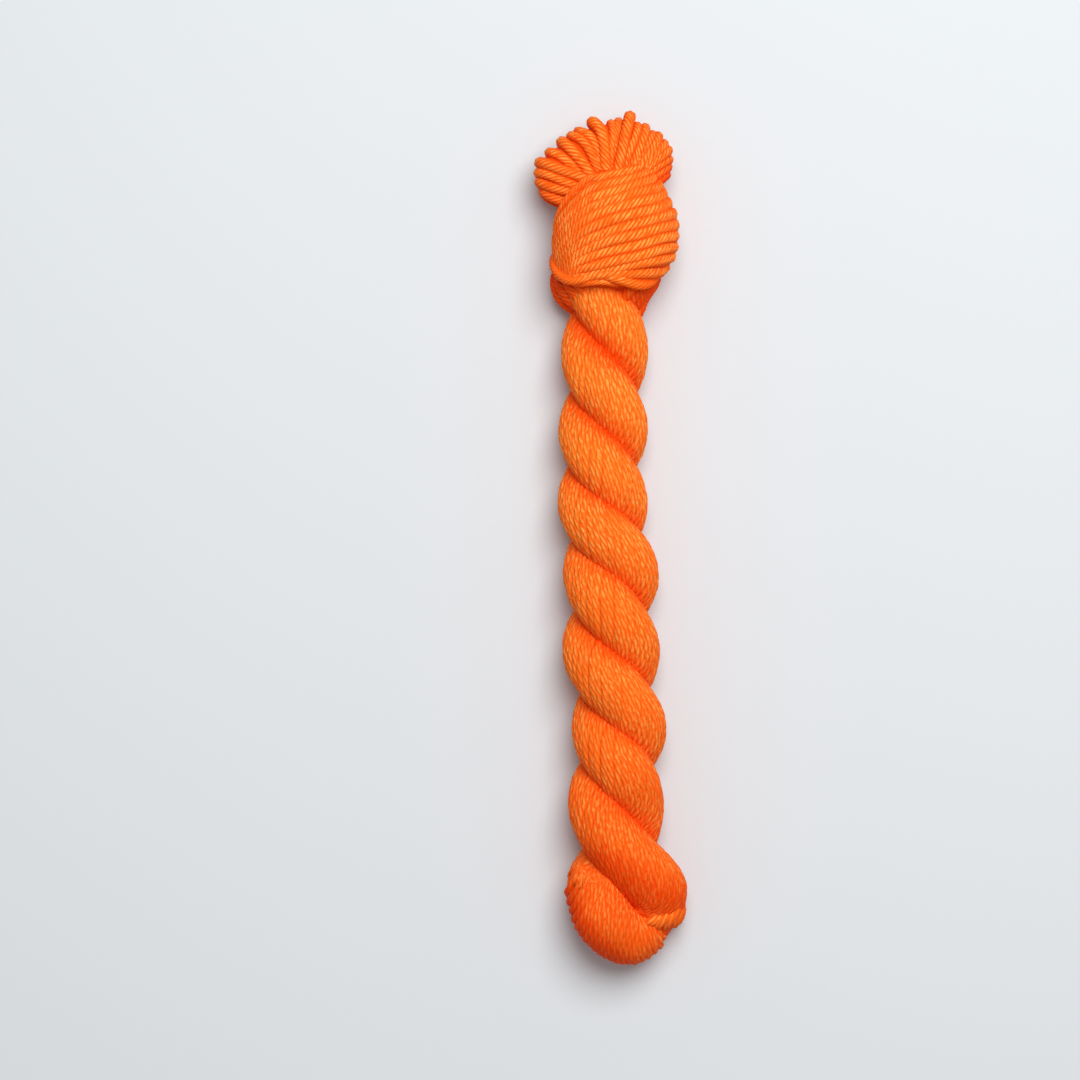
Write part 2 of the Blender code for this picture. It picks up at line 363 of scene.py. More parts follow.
class HankYarn(bpy.types.PropertyGroup):
    """Sizes and colours of the yarn."""

    loop_lay: bpy.props.FloatProperty(
        name="Loop lay", description="Length in which the slack yarn turns once",
        default=0.0108, min=0.002, unit="LENGTH", subtype="DISTANCE", precision=4,
    )
    rope_lobes: bpy.props.IntProperty(
        name="Rope lobes", description="Lobes round the taut yarn", default=6, min=3, max=12,
    )
    loop_lobes: bpy.props.IntProperty(
        name="Loop lobes", description="Lobes round the slack yarn of the collar and the fan",
        default=7, min=3, max=12,
    )
    lobe_depth: bpy.props.FloatProperty(
        name="Groove depth", description="Depth between two lobes, as a share of the radius",
        default=0.13, min=0.0, max=0.5, subtype="FACTOR",
    )
    ring_step: bpy.props.FloatProperty(
        name="Ring step", description="Distance between rings of the yarn's mesh",
        default=0.0014, min=0.0003, unit="LENGTH", subtype="DISTANCE", precision=4,
    )
    rope_lay: bpy.props.FloatProperty(
        name="Rope lay", description="Length in which the yarn turns once, in the taut rope",
        default=0.0175, min=0.002, unit="LENGTH", subtype="DISTANCE", precision=4,
    )
    rope_radius: bpy.props.FloatProperty(
        name="Rope strand radius", description="Radius of the yarn in the rope",
        default=0.0015, unit="LENGTH", subtype="DISTANCE", precision=5,
    )
    rope_strands: bpy.props.IntProperty(
        name="Strands round a ply", description="Turns of yarn that show round each ply",
        default=20, min=8,
    )
    rope_twist: bpy.props.FloatProperty(
        name="Ply twist", description="Turn of each ply about its own middle, per metre",
        default=140.0,
    )
    wool: colour_property("Wool", "Colour of the slack yarn", "#FA731F")
    # Painted light: brighter than the slack wool, darkened towards the fold by UPPER_SHADE and
    # LOWER_SHADE.
    lit_taut_wool: colour_property("Taut wool", "Colour of the yarn in the rope", "#FC7F27")
    # Painted highlight, on the lobes' crests that face up.
    painted_highlight: colour_property(
        "Fleck", "Colour of the yarn where its lobes catch the light", "#FCA34C"
    )
    # Painted shade between the lobes and on the strands' flanks.
    groove: colour_property("Groove", "Colour of the yarn between its lobes", "#F5580F")
    # Painted shade in creases, low on the hank and on sides turned from the light.
    deep: colour_property(
        "Deep", "Colour of the yarn in the creases and low on the hank", "#EC4208"
    )
    seed: bpy.props.IntProperty(
        name="Seed", description="Seed of the strands' unevenness", default=4,
    )


class HankStage(bpy.types.PropertyGroup):
    """The floor, the light and the camera."""

    floor: colour_property("Floor", "Colour of the floor", "#D6DADD")
    key: bpy.props.FloatProperty(
        name="Key light", description="Power of the soft light over the fan's end", default=13.2,
        unit="POWER",
    )
    sky: bpy.props.FloatProperty(
        name="Fill", description="Strength of the even light from all round", default=0.33,
    )
    camera_height: bpy.props.FloatProperty(
        name="Camera height", description="Height of the camera over the hank", default=1.6,
        unit="LENGTH", subtype="DISTANCE",
    )


def yarn_tree():
    """Geometry Nodes that spin each curve into a plied strand.

    The strand's profile has one lobe for each of the yarn's own strands and turns once
    in the lay. Faces carry a map of the place round and along the strand, and one that
    lays the strands out side by side.
    """
    tree = bpy.data.node_groups.get("plied yarn")
    if tree:
        return tree
    tree = bpy.data.node_groups.new("plied yarn", "GeometryNodeTree")
    tree.interface.new_socket("Geometry", in_out="INPUT", socket_type="NodeSocketGeometry")
    for name, kind, value in (
        ("Ring Step", "NodeSocketFloat", 0.0014),
        ("Lay", "NodeSocketFloat", 0.0108),
        ("Lobes", "NodeSocketInt", 7),
        ("Groove Depth", "NodeSocketFloat", 0.13),
        ("Seed", "NodeSocketInt", 4),
        ("Material", "NodeSocketMaterial", None),
    ):
        socket = tree.interface.new_socket(name, in_out="INPUT", socket_type=kind)
        if value is not None:
            socket.default_value = value
    tree.interface.new_socket("Geometry", in_out="OUTPUT", socket_type="NodeSocketGeometry")
    given = add_node(tree, "NodeGroupInput").outputs

    def maths(operation, *values):
        return add_node(
            tree, "ShaderNodeMath", dict(enumerate(values)), operation=operation
        ).outputs[0]

    def stored(geometry, name, value, domain="POINT", data_type="FLOAT"):
        inputs = {"Geometry": geometry, "Name": name, "Value": value}
        return add_node(
            tree, "GeometryNodeStoreNamedAttribute", inputs, domain=domain, data_type=data_type
        ).outputs[0]

    def named(name, data_type="FLOAT"):
        return add_node(
            tree, "GeometryNodeInputNamedAttribute", {"Name": name}, data_type=data_type
        ).outputs[0]

    def vectors(operation, *values):
        return add_node(
            tree, "ShaderNodeVectorMath", dict(enumerate(values)), operation=operation
        ).outputs

    index = add_node(tree, "GeometryNodeInputIndex").outputs[0]
    strip = add_node(
        tree, "GeometryNodeFieldOnDomain", {0: index}, domain="CURVE", data_type="INT"
    ).outputs[0]
    random = add_node(tree, "FunctionNodeRandomValue", data_type="FLOAT")
    tree.links.new(strip, random.inputs["ID"])
    tree.links.new(given["Seed"], random.inputs["Seed"])
    chance = random.outputs[1]
    place = add_node(tree, "GeometryNodeSplineParameter").outputs

    # A smooth, evenly spaced line through each strand's places.
    curve = add_node(tree, "GeometryNodeMeshToCurve", {"Mesh": given["Geometry"]}).outputs[0]
    curve = add_node(
        tree, "GeometryNodeCurveSplineType", {"Curve": curve}, spline_type="CATMULL_ROM"
    ).outputs[0]
    curve = add_node(
        tree, "GeometryNodeResampleCurve", {"Curve": curve, "Length": given["Ring Step"]},
        mode="LENGTH",
    ).outputs[0]
    for name, value in (
        ("strip", strip), ("tone", chance), ("along", place["Length"]), ("share", place["Factor"]),
    ):
        curve = stored(curve, name, value)
    where = add_node(tree, "GeometryNodeInputPosition").outputs[0]
    curve = stored(curve, "middle", where, data_type="FLOAT_VECTOR")
    turns = maths("ADD", maths("DIVIDE", place["Length"], given["Lay"]), chance)
    tilt = maths("MULTIPLY", turns, -2 * pi)
    curve = add_node(
        tree, "GeometryNodeSetCurveTilt", {"Curve": curve, "Tilt": tilt}
    ).outputs[0]

    # The profile: a groove and the two shoulders of a lobe, for each lobe.
    per_lobe = 3
    sides = maths("MULTIPLY", given["Lobes"], per_lobe)
    profile = add_node(
        tree, "GeometryNodeCurvePrimitiveCircle", {"Resolution": sides, "Radius": 1.0}
    ).outputs[0]
    groove = maths("LESS_THAN", maths("MODULO", index, per_lobe), 0.5)
    shrink = maths("SUBTRACT", 1, maths("MULTIPLY", groove, given["Groove Depth"]))
    scaled = add_node(
        tree, "ShaderNodeVectorMath", {0: where, "Scale": shrink}, operation="SCALE"
    ).outputs[0]
    profile = add_node(
        tree, "GeometryNodeSetPosition", {"Geometry": profile, "Position": scaled}
    ).outputs[0]
    profile = stored(profile, "side", index)
    profile = stored(profile, "groove", groove)
    mesh = add_node(
        tree, "GeometryNodeCurveToMesh",
        {
            "Curve": curve, "Profile Curve": profile, "Fill Caps": True,
            "Scale": named("width"),
        },
    ).outputs[0]
    from_middle = vectors("SUBTRACT", where, named("middle", "FLOAT_VECTOR"))[0]
    outwards = vectors("NORMALIZE", from_middle)[0]
    facing = vectors("DOT_PRODUCT", outwards, named("outward", "FLOAT_VECTOR"))["Value"]
    mesh = stored(mesh, "facing", facing)

    # Creased grooves, so that each lobe shades as a round strand.
    mesh = add_node(
        tree, "GeometryNodeSetShadeSmooth", {"Geometry": mesh}, domain="FACE"
    ).outputs[0]
    crease = maths("GREATER_THAN", named("groove"), 0.9)
    mesh = add_node(
        tree, "GeometryNodeSetShadeSmooth",
        {"Geometry": mesh, "Selection": crease, "Shade Smooth": False}, domain="EDGE",
    ).outputs[0]

    # Low places are pressed flat on the floor.
    axes = add_node(tree, "ShaderNodeSeparateXYZ", {0: where}).outputs
    pressed = add_node(
        tree, "ShaderNodeCombineXYZ", {0: axes[0], 1: axes[1], 2: maths("MAXIMUM", axes[2], 0)}
    ).outputs[0]
    mesh = add_node(
        tree, "GeometryNodeSetPosition", {"Geometry": mesh, "Position": pressed}
    ).outputs[0]

    # Round the strand the last face ends at a whole turn, not back at nought.
    side = named("side")
    middle = add_node(
        tree, "GeometryNodeFieldOnDomain", {0: side}, domain="FACE", data_type="FLOAT"
    ).outputs[0]
    wraps = maths("LESS_THAN", side, maths("SUBTRACT", middle, 1.5))
    round_share = maths("DIVIDE", maths("ADD", side, maths("MULTIPLY", wraps, sides)), sides)
    round_lobes = maths("MULTIPLY", round_share, given["Lobes"])
    along_mm = maths("MULTIPLY", named("along"), 1 / MM)
    on_strand = add_node(tree, "ShaderNodeCombineXYZ", {0: round_lobes, 1: along_mm}).outputs[0]
    mesh = stored(mesh, "strand", on_strand, "CORNER", "FLOAT2")
    count = add_node(
        tree, "GeometryNodeAttributeDomainSize", {"Geometry": curve}, component="CURVE"
    ).outputs["Spline Count"]
    # Strips side by side, each with a narrow margin.
    across = maths("ADD", named("strip"), maths("MULTIPLY_ADD", round_share, 0.92, 0.04))
    laid_out = add_node(
        tree, "ShaderNodeCombineXYZ",
        {0: maths("DIVIDE", across, count), 1: maths("MULTIPLY_ADD", named("share"), 0.98, 0.01)},
    ).outputs[0]
    mesh = stored(mesh, "OFBake", laid_out, "CORNER", "FLOAT2")
    for name in ("strip", "along", "share", "side", "groove", "width", "middle", "outward"):
        mesh = add_node(
            tree, "GeometryNodeRemoveAttribute", {"Geometry": mesh, "Name": name}
        ).outputs[0]
    mesh = add_node(
        tree, "GeometryNodeSetMaterial", {"Geometry": mesh, "Material": given["Material"]}
    ).outputs[0]
    mesh = add_node(tree, "GeometryNodeRealizeInstances", {"Geometry": mesh}).outputs[0]
    add_node(tree, "NodeGroupOutput", {0: mesh})
    return tree


def strand(places, radius, outward, deep=0.0):
    """A strand as rows of place, radius, direction away from the hank, and painted shade."""
    count = len(places)
    radius, deep = (np.reshape(value, (-1, 1)) for value in (radius, deep))
    columns = ((places, 3), (radius, 1), (outward, 3), (deep, 1))
    return np.hstack([np.broadcast_to(value, (count, size)) for value, size in columns])


def spin(name, strands, yarn, taut):
    """Spins strands, each made by strand(), into one piece: the rope's taut, others slack."""
    rows = np.vstack(strands)
    last = np.cumsum([len(rows) for rows in strands]) - 1
    starts = np.setdiff1d(np.arange(len(rows) - 1), last)
    lines = bpy.data.meshes.new(name + "_guide")
    lines.from_pydata((rows[:, :3] * MM).tolist(), [(int(k), int(k) + 1) for k in starts], [])
    # The deep attribute is painted shade for the material.
    for label, kind, field, values in (
        ("width", "FLOAT", "value", rows[:, 3] * MM),
        ("outward", "FLOAT_VECTOR", "vector", rows[:, 4:7]),
        ("deep", "FLOAT", "value", rows[:, 7]),
    ):
        lines.attributes.new(label, kind, "POINT").data.foreach_set(field, np.ravel(values))
    guide = bpy.data.objects.new(name + "_guide", lines)
    bpy.context.scene.collection.objects.link(guide)
    modifier = guide.modifiers.new("plied yarn", "NODES")
    modifier.node_group = yarn_tree()
    sizes = {
        "Ring Step": yarn.ring_step,
        "Lay": yarn.rope_lay if taut else yarn.loop_lay,
        "Lobes": yarn.rope_lobes if taut else yarn.loop_lobes,
        "Groove Depth": yarn.lobe_depth,
        "Seed": yarn.seed,
        "Material": yarn_material(yarn, taut),
    }
    for socket in modifier.node_group.interface.items_tree:
        if socket.name in sizes:
            modifier[socket.identifier] = sizes[socket.name]
    bpy.context.view_layer.update()
    graph = bpy.context.evaluated_depsgraph_get()
    mesh = bpy.data.meshes.new_from_object(
        guide.evaluated_get(graph), preserve_all_data_layers=True, depsgraph=graph
    )
    bpy.data.objects.remove(guide, do_unlink=True)
    bpy.data.meshes.remove(lines)
    mesh.name = name
    show(name, mesh)


def show(name, mesh):
    """Adds the finished mesh to the scene as a piece of the hank."""
    piece = bpy.data.objects.new(name, mesh)
    bpy.context.scene.collection.objects.link(piece)
    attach(piece, BODY)
    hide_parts(NODE)


def yarn_material(yarn, taut):
    """Plied wool with a soft sheen.

    Painted highlights lie as flecks on the crests of the lobes, painted shade keeps the
    grooves between them deep orange-red, and fine fibres run along the lobes. Where the
    yarn is pulled taut its lobes wander more and blur into shorter flecks.
    """
    name = "taut plied wool" if taut else "slack plied wool"
    material = bpy.data.materials.get(name)
    if material:
        return material
    material = bpy.data.materials.new(name)
    material.use_nodes = True
    tree = material.node_tree
    shader = tree.nodes["Principled BSDF"]

    def maths(operation, *values):
        return add_node(
            tree, "ShaderNodeMath", dict(enumerate(values)), operation=operation
        ).outputs[0]

    def noise(x, y, detail):
        other = maths("MULTIPLY", tone, 90)  # another part of the noise for each strand
        where = add_node(tree, "ShaderNodeCombineXYZ", {0: x, 1: y, 2: other})
        inputs = {"Vector": where.outputs[0], "Scale": 1.0, "Detail": detail}
        return add_node(tree, "ShaderNodeTexNoise", inputs).outputs["Fac"]

    def between(value, low, high):
        """0 up to `low`, 1 from `high` on, smooth between them."""
        inputs = {"Value": value, "From Min": low, "From Max": high}
        return add_node(
            tree, "ShaderNodeMapRange", inputs, interpolation_type="SMOOTHSTEP"
        ).outputs[0]

    def mixed(share, first, second):
        node = add_node(tree, "ShaderNodeMix", {0: share}, data_type="RGBA")
        for socket, colour in ((6, first), (7, second)):
            if isinstance(colour, bpy.types.NodeSocket):
                tree.links.new(colour, node.inputs[socket])
            else:
                node.inputs[socket].default_value = (*colour, 1.0)
        return node.outputs[2]

    on_strand = add_node(tree, "ShaderNodeUVMap", uv_map="strand").outputs[0]
    round_lobes, along_mm, _ = add_node(tree, "ShaderNodeSeparateXYZ", {0: on_strand}).outputs
    tone, facing, deep = (
        add_node(tree, "ShaderNodeAttribute", attribute_name=name).outputs["Fac"]
        for name in ("tone", "facing", "deep")
    )

    def along_strand(across, length, detail):
        """Noise by its scale for each lobe round the strand and each mm along it."""
        x, y = maths("MULTIPLY", round_lobes, across), maths("MULTIPLY", along_mm, length)
        return noise(x, y, detail)

    # The lobes wander a little, as spun ones do, over about 2 mm.
    astray = along_strand(0.8, 0.5, 1.0)
    wander = 1.15 if taut else 0.8
    lobe = maths("ADD", round_lobes, maths("MULTIPLY_ADD", astray, wander, -0.5 * wander))
    crest = maths("MULTIPLY_ADD", maths("COSINE", maths("MULTIPLY", lobe, 2 * pi)), -0.5, 0.5)

    # Fibres about 0.25 mm wide and 2.5 mm long, along the lobes. Real ones are about ten
    # times finer, too fine to show.
    fibres = along_strand(6, 0.4, 3.0)
    # Painted highlight: flecks of light 1.5 to 2 mm long, where a crest crosses the top of the
    # strand.
    wide, long, least = (1.5, 0.65, 0.38) if taut else (1.3, 0.5, 0.34)
    painted_flecks = along_strand(wide, long, 1.0)
    painted_flecks = maths("MULTIPLY", between(painted_flecks, least, least + 0.2), between(crest, 0.1, 0.85))
    painted_flecks = maths("MULTIPLY", painted_flecks, between(facing, 0.6, 0.95))
    # Brighter and duller patches of the painted highlight over the whole hank, about 11 mm wide.
    hank = add_node(tree, "ShaderNodeTexCoord").outputs["Object"]
    patches = add_node(
        tree, "ShaderNodeTexNoise", {"Vector": hank, "Scale": 90.0, "Detail": 1.0}
    ).outputs["Fac"]
    painted_flecks = maths("MULTIPLY", painted_flecks, between(patches, 0.1, 0.6))
    # Slow change of the dye along the yarn, about 20 mm long.
    dye = noise(0.0, maths("MULTIPLY", along_mm, 0.05), 2.0)

    # Painted shade: from the grooves' colour to the wool's, up the lobes and up the strand's flanks.
    crests, flanks = (0.6, 0.38) if taut else (0.75, 0.5)
    level = maths("MULTIPLY_ADD", crest, crests, 0.98 - crests - flanks)
    level = maths("ADD", level, maths("MULTIPLY", between(facing, -0.2, 0.9), flanks))
    level = maths("ADD", level, maths("MULTIPLY_ADD", fibres, 0.6, -0.3))
    colour = mixed(level, yarn.groove, yarn.lit_taut_wool if taut else yarn.wool)
    # Painted shade: the deep colour in creases, low on the hank and on sides turned from the light.
    colour = mixed(deep, colour, yarn.deep)
    # Painted highlight: the flecks, fewer where the painted shade is deep.
    share = maths("MULTIPLY", painted_flecks, maths("MULTIPLY_ADD", deep, -0.8, 0.9))
    colour = mixed(share, colour, yarn.painted_highlight)
    by_strand = maths("MULTIPLY_ADD", tone, 0.08, 0.9)
    value = maths("ADD", by_strand, maths("MULTIPLY_ADD", dye, 0.16, -0.03))
    toned = add_node(tree, "ShaderNodeHueSaturation", {"Value": value, "Color": colour}).outputs[0]
    tree.links.new(toned, shader.inputs["Base Color"])
    height = maths("MULTIPLY_ADD", fibres, 0.35, maths("POWER", crest, 0.6))
    bump = add_node(
        tree, "ShaderNodeBump", {"Strength": 0.4, "Distance": 0.0001, "Height": height}
    ).outputs[0]
    tree.links.new(bump, shader.inputs["Normal"])
    shader.inputs["Roughness"].default_value = 0.6
    shader.inputs["Specular IOR Level"].default_value = 0.05
    shader.inputs["Specular Tint"].default_value = linear("#FFA040")
    return material


def ply_line(side, at):
    """Middle and radius of a ply at places `at`, in rows: side 1 starts on the left."""
    along, middle, half, tall, ply = smooth(SHAFT, at).T
    turn = pi * (1 - at)
    across = middle + side * (half - ply) * np.cos(turn)
    up = tall - SINK + side * (tall - ply) * np.sin(turn)
    return np.stack((across, along, up, ply), axis=1)


class Skein:
    """The line down one ply, round the fold and up the other, and directions across it."""

    step = 1.0  # mm

    def __init__(self):
        at = np.arange(0, ROWS + 0.01, ROW_STEP)
        down, up = ply_line(1, at), ply_line(-1, at[::-1])
        rows = np.array((down[-2], down[-1], *FOLD, up[0], up[1]))
        bend = smooth(rows, np.arange(1 + ROW_STEP, len(FOLD) + 2, ROW_STEP))
        line = np.vstack((down, bend, up))
        steps = np.linalg.norm(np.diff(line[:, :3], axis=0), axis=1)
        far = np.concatenate(([0], np.cumsum(steps)))
        self.rows, self.far_of_rows = at, far[: len(at)]
        self.left_end = far[len(at) - 1]
        self.right_end = far[len(at) + len(bend)]
        self.length = far[-1]
        self.far = np.arange(0, self.length, self.step)
        self.line = np.stack([np.interp(self.far, far, column) for column in line.T], axis=1)
        self.ahead = unit(np.gradient(self.line[:, :3], axis=0))
        across = np.array((1.0, 0, 0))
        carried = []  # without turning about the line
        for ahead in self.ahead:
            across = across - ahead * (across @ ahead)
            across /= np.linalg.norm(across)
            carried.append(across)
        self.across = np.array(carried)

    def at(self, far, values):
        """Rows of `values`, which go with self.far, at distances `far`."""
        return np.stack([np.interp(far, self.far, column) for column in values.T], axis=1)

    def place_of(self, side, row):
        """Distance along the skein of a row of one ply."""
        far = np.interp(row, self.rows, self.far_of_rows)
        return far if side == 1 else self.length - far

    def wound(self, far, turn, inset):
        """Places `inset` below the surface, at `turn` from a direction carried along."""
        return self.round_line(far, turn, inset, self.at(far, self.across))

    def over(self, far, turn, inset):
        """Places `inset` below the surface, at `turn` from the top to the bend's outside."""
        return self.round_line(far, turn, inset, np.array((0, 0, 1.0)))

    def round_line(self, far, turn, inset, start):
        """Places and outward directions round the line, at `turn` from `start`."""
        line = self.at(far, self.line)
        ahead = unit(self.at(far, self.ahead))
        start = unit(start - ahead * (start * ahead).sum(1, keepdims=True))
        other = np.cross(ahead, start)
        reach = (line[:, 3] - inset)[:, None]
        outward = start * np.cos(turn)[:, None] + other * np.sin(turn)[:, None]
        return line[:, :3] + reach * outward, outward


def waves(rng, far, length, height):
    """Slow unevenness along a strand: a few sines about `length` long."""
    total = 0
    for share, part in ((1.0, 0.6), (0.57, 0.4), (0.31, 0.25)):
        total = total + part * np.sin(2 * pi * far / (length * share) + rng.uniform(0, 2 * pi))
    return height * total


def in_crease(places):
    """How deep places lie in the crease between the plies: 1 is at its bottom."""
    middle, half, tall, ply = (
        np.interp(-places[:, 1], -SHAFT[:, 0], SHAFT[:, k]) for k in (1, 2, 3, 4)
    )
    reach = np.hypot(places[:, 0] - middle, places[:, 2] - tall + SINK)
    bottom = np.sqrt(ply**2 - (half - ply) ** 2)
    share = np.clip((reach - bottom) / (half - bottom - CREASE_RIM), 0, 1)
    return 1 - share**2 * (3 - 2 * share)


def ply_run(skein, side):
    """Distances along the skein for one ply's strands, their extra turn and their depth."""
    start = skein.place_of(side, HIDDEN_ROW)
    if side == 1:
        far = np.arange(start, skein.left_end + FIRST_PLY_RUN, PLACE_STEP)
        curl, length = FIRST_PLY_CURL
        extra = curl * np.exp(np.minimum(far - skein.left_end, CURL_END) / length)
        sinks = skein.place_of(1, CROSSING_ROW)
        return far, extra, FIRST_PLY_SUNK * ramp(far, sinks, sinks + SINK_LENGTH)
    far = np.arange(skein.right_end - SECOND_PLY_RUN, start, PLACE_STEP)
    curl, length = SECOND_PLY_CURL
    extra = curl * np.exp(-np.maximum(far - skein.right_end, -CURL_END) / length)
    sinks = skein.right_end - SECOND_PLY_SINKS
    return far, extra, SECOND_PLY_SUNK * ramp(far, sinks, sinks - SINK_LENGTH)


def rope_painted_shade(places, side):
    """Painted shade on the rope at places: in creases, towards the fold where less light falls, and
    where a ply curls under.
    """
    along = places[:, 1]
    lower = sum(share * ramp(along, *ends) for share, *ends in (UPPER_SHADE, LOWER_SHADE))
    if side == 1:
        most = FIRST_PLY_POCKET
    else:
        into = (places[:, :2] - POCKET_PLACE) @ POCKET_AHEAD
        most = np.minimum(ramp(into, *POCKET_EDGE), SECOND_PLY_POCKET)
    pocket = most * ramp(along, *POCKET_ALONG)
    return np.maximum(in_crease(places), np.maximum(pocket, lower))


def rope_strands(yarn, skein, side):
    """Strands that wind round one ply, from inside the collar to the fold."""
    rng = np.random.default_rng(yarn.seed + side)
    radius = yarn.rope_radius / MM
    far, extra, sunk = ply_run(skein, side)
    strands = []
    for number in range(yarn.rope_strands):
        place = number + rng.uniform(-UNEVEN_START, UNEVEN_START)
        start = 2 * pi * place / yarn.rope_strands
        turn = start + yarn.rope_twist * MM * far + extra + waves(rng, far, *SIDEWAYS)
        inset = radius + SKIN + waves(rng, far, *IN_AND_OUT) + sunk
        places, outward = skein.wound(far, turn, inset)
        strands.append(strand(places, radius, outward, rope_painted_shade(places, side)))
    return strands


def fold_lean(skein, far):
    """The lean of the fold's strands, in radians, at distances along the skein."""
    return np.radians(np.interp(far - skein.left_end, FOLD_PLACES, FOLD_LEANS))


def leaning(skein, at, turn):
    """How far a strand over the fold goes along it while it turns by a radian round it."""

    def seen(at, turn):
        return skein.over(at, turn, SEEN_INSET)[0][:, :2]

    def cross(a, b):
        return a[:, 0] * b[:, 1] - a[:, 1] * b[:, 0]

    near, near_turn = 0.5, 0.05
    along = seen(at + near, turn) - seen(at - near, turn)
    round_it = (seen(at, turn + near_turn) - seen(at, turn - near_turn)) / (2 * near_turn)
    lean = fold_lean(skein, at)
    down = np.stack((-np.sin(lean), -np.cos(lean)), axis=1)
    across = cross(along, down)
    across = np.where(abs(across) < 0.01, 0.01, across)  # never divides by nought
    return np.clip(cross(down, round_it) / across, -STEEPEST, STEEPEST)


def fold_lines(yarn, skein):
    """The strands over the fold: distances along the skein for each, and their turns.

    They are evenly spaced on the silhouette. From there over the top to the groove they
    keep their lean, and under the fold they soon go straight on.
    """
    start = skein.place_of(1, FOLD_START_ROW)
    far = np.arange(start, skein.right_end - FOLD_END, 0.25)
    edge = skein.over(far, np.full(len(far), pi / 2), yarn.rope_radius / MM)[0]
    lean = fold_lean(skein, far)[1:]
    step = np.diff(edge, axis=0)
    apart = abs(step[:, 0] * np.cos(lean) - step[:, 1] * np.sin(lean))
    apart = np.maximum(apart, LEAST_SPREAD * np.linalg.norm(step, axis=1))
    spread = np.concatenate(([0], np.cumsum(apart)))
    at = np.interp(np.arange(0, spread[-1], FOLD_PITCH), spread, far)

    turns = [pi / 2]
    rows = [at]
    while turns[-1] > np.radians(GROOVE_TURN):
        turn = np.full(len(at), turns[-1])
        rows.append(rows[-1] - TURN_STEP * leaning(skein, rows[-1], turn))
        turns.append(turns[-1] - TURN_STEP)
    rows, turns = rows[::-1], turns[::-1]
    onwards = leaning(skein, at, np.full(len(at), pi / 2)) - STRAIGHT
    while turns[-1] < np.radians(UNDERSIDE_TURN):
        rate = STRAIGHT + onwards * np.exp(-(turns[-1] - pi / 2) / LEAN_FADES)
        turns.append(turns[-1] + 2 * TURN_STEP)
        rows.append(rows[-1] + rate * 2 * TURN_STEP)
    return list(np.array(rows).T), np.array(turns)


def fillers(yarn, skein, line, after, turn):
    """Lines between one line over the fold and the one after it, where the two part."""
    top = turn < np.radians(FILL_TURN)
    first, second = (
        skein.over(each[top], turn[top], yarn.rope_radius / MM)[0] for each in (line, after)
    )
    ahead = unit(np.gradient(first, axis=0))
    apart = second - first
    apart = np.linalg.norm(apart - ahead * (apart * ahead).sum(1, keepdims=True), axis=1)
    widest = apart[turn[top] > np.radians(WIDEST_TURN)].max()
    count = int(round(widest / FILL_PITCH)) - 1
    made = []
    for share in np.arange(1, count + 1) / (count + 1):
        end = 1 + np.argmax(np.append(apart * min(share, 1 - share) < FILL_END, True))
        if end > LEAST_PLACES:
            made.append((line[:end] + share * (after[:end] - line[:end]), turn[:end]))
    return made


def fold_inset(rng, yarn, skein, line, turn):
    """How far below the fold's surface a strand lies: its ends sink into the hank."""
    inset = yarn.rope_radius / MM + SKIN + waves(rng, turn * FOLD_MM_ROUND, *FOLD_WAVES)
    depth, start, full = UNDERSIDE_SUNK
    inset += depth * ramp(turn, start, full)
    depth, start, full = RIGHT_SUNK
    inset += depth * ramp(line, skein.right_end - start, skein.right_end - full)
    start = skein.place_of(1, LEFT_SUNK_ROW)
    inset += LEFT_SUNK * ramp(line, start, start - LEFT_SUNK_LENGTH)
    if turn[-1] < 3:  # one that lies between two others
        inset += FILL_SUNK * ramp(turn, turn[-1] - FILL_SUNK_TURN, turn[-1])
    return inset


def fold_strands(yarn, skein):
    """Strands over the outside of the fold, from the groove inside it to its underside."""
    rng = np.random.default_rng(yarn.seed + 7)
    lines, turns = fold_lines(yarn, skein)
    laid = []
    for line, after in zip(lines, [*lines[1:], None]):
        laid.append((line, turns))
        if after is not None:
            laid += fillers(yarn, skein, line, after, turns)
    shown = skein.place_of(1, FOLD_SHOWN_ROW), skein.right_end - FOLD_SHOWN_END
    strands = []
    for line, turn in laid:
        keep = (line > shown[0]) & (line < shown[1])
        line, turn = line[keep], turn[keep]
        if len(line) < LEAST_PLACES:
            continue
        inset = fold_inset(rng, yarn, skein, line, turn)
        places, outward = skein.over(line, turn, inset)
        # Painted shade on the sides turned from the light, and deeper in the crease.
        below = np.clip(outward @ FOLD_SHADE_WAY + FOLD_SHADE_ADDED, *FOLD_SHADE_RANGE)
        deep = np.maximum(below, 0.7 * in_crease(places) ** 3)
        strands.append(strand(places, yarn.rope_radius / MM, outward, deep))
    return strands


def placed_strand(places, radius, deep=0.0):
    """A strand through measured places: across and down in pixels, and mm up."""
    places = np.array(places, float)
    across, along = pixels_to_mm(places[:, 0], places[:, 1])
    line = np.stack((across, along, places[:, 2]), axis=1)
    line = smooth(line, np.linspace(0, len(line) - 1, 6 * len(line)))
    return strand(line, radius, (0, 0, 1), deep)


class HANK_OT_rope(bpy.types.Operator):
    """Winds the two plies of the rope and the fold that joins them"""

    bl_idname = "hank.rope"
    bl_label = "Rope"

    def execute(self, context):
        yarn = context.scene.hank_yarn
        skein = Skein()
        spin("rope_first_ply", rope_strands(yarn, skein, 1), yarn, taut=True)
        spin("rope_second_ply", rope_strands(yarn, skein, -1), yarn, taut=True)
        lip = [placed_strand(places, LIP_RADIUS, LIP_SHADE) for places in LIP]
        spin("fold", fold_strands(yarn, skein) + lip, yarn, taut=True)
        return {"FINISHED"}


def collar_section(along):
    """Middle across, half-width and half-depth of the collar, in mm, at each place along."""
    rows = COLLAR[:, 0]
    left, right, deep = (np.interp(along, rows, COLLAR[:, k]) for k in (1, 2, 3))
    return (left + right) / 2, (right - left) / 2, deep


